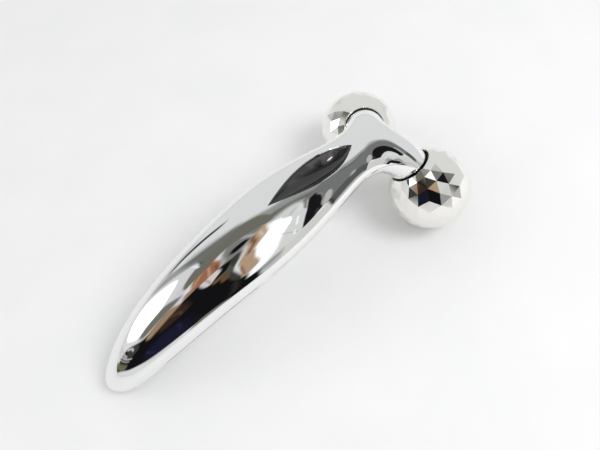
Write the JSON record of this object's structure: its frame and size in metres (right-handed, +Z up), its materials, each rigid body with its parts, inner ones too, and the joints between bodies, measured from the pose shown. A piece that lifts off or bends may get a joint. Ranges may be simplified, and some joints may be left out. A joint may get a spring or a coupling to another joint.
{
  "type": "facial toning device",
  "caption": "Y-shaped chrome facial roller: curved tapering handle with an almond solar window, and a fork whose faceted balls spin freely on splayed shafts.",
  "frame": {"origin": "on the resting surface, under the middle of the whole device", "axes": "+Y from the tail to the balls, +X to the right across the handle, +Z up, as the device lies on its balls and tail"},
  "size_m": [0.0918, 0.195, 0.0521],
  "materials": {
    "handle_chrome": "mirror",
    "ball_chrome": "mirror",
    "smoked_lens": "gloss",
    "solar_cell": "gloss",
    "foam": "matt",
    "black_rubber": "matt",
    "frame_plastic": "matt",
    "core_plastic": "matt",
    "bush_plastic": "satin",
    "circuit_board": "satin",
    "component_body": "satin",
    "wire_insulation": "satin",
    "spring_brass": "satin",
    "steel": "brushed"
  },
  "bodies": {
    "handle": {"upper_shell": "handle_chrome", "lower_shell": "handle_chrome", "inner_frame": "frame_plastic", "window_lens": "smoked_lens", "window_gasket": "foam", "solar_cell": "solar_cell", "circuit_board": "circuit_board", "board_components": "component_body", "board_screws": "steel", "contact_spring": "spring_brass", "lead_wire_right": "wire_insulation", "roller_shaft_right": "steel", "shaft_washer_right": "steel", "shaft_nut_right": "steel", "arm_seal_right": "black_rubber", "thrust_washer_right": "bush_plastic", "retaining_ring_right": "steel", "lead_wire_left": "wire_insulation", "roller_shaft_left": "steel", "shaft_washer_left": "steel", "shaft_nut_left": "steel", "arm_seal_left": "black_rubber", "thrust_washer_left": "bush_plastic", "retaining_ring_left": "steel"},
    "roller_right": {"bearing_bush_right": "bush_plastic", "ball_core_right": "core_plastic", "ball_cap_right": "core_plastic", "ball_skin_right": "ball_chrome"},
    "roller_left": {"bearing_bush_left": "bush_plastic", "ball_core_left": "core_plastic", "ball_cap_left": "core_plastic", "ball_skin_left": "ball_chrome"}
  },
  "joints": [
    {"name": "roller_right_spin", "type": "hinge", "parent": "handle", "child": "roller_right", "pos_m": [0.026, 0.0775, 0.01979], "axis": [-0.592, -0.2637, 0.7616], "continuous": true},
    {"name": "roller_left_spin", "type": "hinge", "parent": "handle", "child": "roller_left", "pos_m": [-0.026, 0.0775, 0.01979], "axis": [0.592, -0.2637, 0.7616], "continuous": true}
  ]
}
